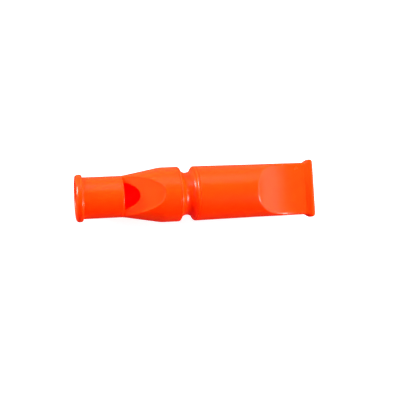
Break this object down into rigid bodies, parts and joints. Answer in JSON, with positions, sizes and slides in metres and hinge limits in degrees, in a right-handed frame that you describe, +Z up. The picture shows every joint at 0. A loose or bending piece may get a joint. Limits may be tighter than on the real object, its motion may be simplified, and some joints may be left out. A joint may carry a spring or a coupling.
{
  "type": "training whistle",
  "caption": "Double-ended training whistle: a round pealess end and a flat pea end joined at a grooved waist that takes a lanyard.",
  "frame": {"origin": "bottom centre of the whistle's box: on the surface that it lies on, under the common axis of both barrels, half way along its length", "axes": "+X along the common axis, from the round mouth to the flat mouth; +Z up, out of the pealess end's sound window; +Y across"},
  "size_m": [0.0872, 0.0216, 0.0194],
  "materials": {
    "orange_plastic": "glossy moulded plastic, slightly translucent at thin edges",
    "cork": "matte agglomerated cork"
  },
  "bodies": {
    "whistle": {"peep_barrel": "orange_plastic", "peep_windway_plug": "orange_plastic", "waist_coupling": "orange_plastic", "trill_barrel": "orange_plastic", "trill_windway_plug": "orange_plastic"},
    "pea": {"cork_pea": "cork"}
  },
  "joints": [
    {"name": "pea_orbit", "type": "hinge", "parent": "whistle", "child": "pea", "pos_m": [0.0069, 0, 0.0097], "axis": [1, 0, 0], "continuous": true}
  ]
}
